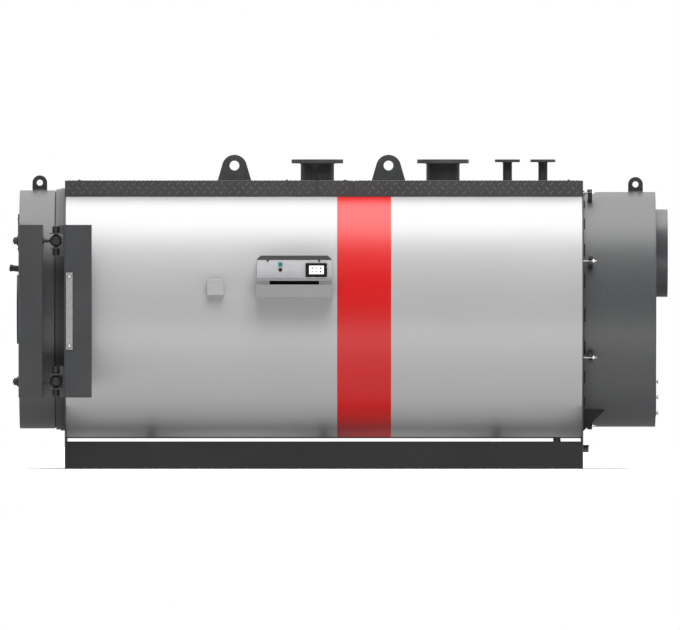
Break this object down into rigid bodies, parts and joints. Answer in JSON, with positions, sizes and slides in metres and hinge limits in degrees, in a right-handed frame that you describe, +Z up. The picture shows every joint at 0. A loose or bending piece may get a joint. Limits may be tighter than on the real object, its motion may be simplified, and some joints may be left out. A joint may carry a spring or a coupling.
{
  "type": "industrial hot-water shell boiler",
  "caption": "Horizontal cylindrical hot-water boiler in a sheet casing on a skid, with a hinged burner door, a rear smoke box, flanged nozzles on top and a side control panel.",
  "frame": {"origin": "on the floor under the middle of the base, in the plane of symmetry", "axes": "+X along the boiler towards the smoke box and flue, +Z up, the control panel side at -Y and the burner door at -X"},
  "size_m": [4.3288, 1.945, 2.063],
  "materials": {
    "dark_paint": "satin",
    "casing_enamel": "gloss",
    "band_enamel": "gloss",
    "mineral_wool": "matte",
    "refractory": "matte",
    "seal_rope": "matte",
    "mill_steel": "matte",
    "zinc_steel": "satin",
    "panel_sheet": "satin",
    "console_sheet": "satin",
    "panel_plastic": "matte",
    "screen_glass": "gloss"
  },
  "bodies": {
    "boiler": {"base_cross_members": "dark_paint", "base_rails": "dark_paint", "casing_band": "band_enamel", "casing_bottom_strip": "dark_paint", "casing_front": "casing_enamel", "casing_rear": "casing_enamel", "cleaning_cover": "dark_paint", "drain_pipe": "dark_paint", "fire_tubes": "mill_steel", "flow_nozzle": "dark_paint", "flue_socket": "dark_paint", "front_end_plate": "dark_paint", "front_smoke_ring": "dark_paint", "front_tube_sheet": "mill_steel", "furnace": "mill_steel", "hinge_ears": "dark_paint", "hinge_pins": "zinc_steel", "hinge_posts": "dark_paint", "insulation": "mineral_wool", "lifting_lugs": "dark_paint", "panel_box": "panel_sheet", "panel_console": "console_sheet", "panel_lid": "panel_plastic", "panel_switches": "panel_plastic", "post_strip": "zinc_steel", "pressure_shell": "mill_steel", "rear_end_plate": "dark_paint", "rear_smoke_ring": "dark_paint", "rear_tube_sheet": "mill_steel", "return_nozzle": "dark_paint", "safety_valve_nozzles": "dark_paint", "sensor_box": "casing_enamel", "smokebox_clamps": "dark_paint", "smokebox_end": "dark_paint", "smokebox_eye": "dark_paint", "smokebox_gussets": "dark_paint", "smokebox_shell": "dark_paint", "smokebox_studs": "zinc_steel", "touch_screen": "screen_glass", "walkway_plates": "dark_paint", "wing_nuts": "zinc_steel"},
    "door": {"door_beams": "dark_paint", "door_cover_plate": "dark_paint", "door_eye": "dark_paint", "door_eye_bolts": "zinc_steel", "door_refractory": "refractory", "door_seal": "seal_rope", "door_shell": "dark_paint", "burner_plate": "dark_paint", "sight_tube": "zinc_steel"}
  },
  "joints": [
    {"name": "front_door_hinge", "type": "hinge", "parent": "boiler", "child": "door", "pos_m": [-1.754, -0.89, 1.034], "axis": [0, 0, 1], "range_deg": [0, 105]}
  ]
}
